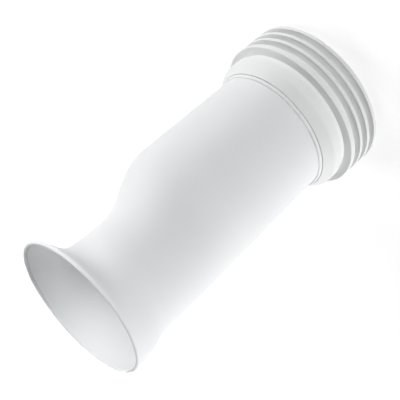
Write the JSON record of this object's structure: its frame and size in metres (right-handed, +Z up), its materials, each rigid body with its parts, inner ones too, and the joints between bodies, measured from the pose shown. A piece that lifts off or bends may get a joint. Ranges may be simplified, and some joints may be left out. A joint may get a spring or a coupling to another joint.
{
  "type": "offset toilet extension",
  "caption": "White offset toilet waste extension: a stepped tube with a bell mouth at the pan end and a soft finned seal on the spigot end.",
  "frame": {"origin": "centre of the finned end's bore, in the plane of its end face, which the part stands on", "axes": "+Z up along the spigot towards the mouth; +X the way the mouth is offset; the XZ plane is the mirror plane"},
  "size_m": [0.115, 0.112, 0.238],
  "materials": {
    "white_plastic": "smooth moulded, low gloss",
    "white_seal": "soft, satin"
  },
  "bodies": {
    "root": {"body": "white_plastic", "finned_seal": "white_seal"}
  },
  "joints": []
}
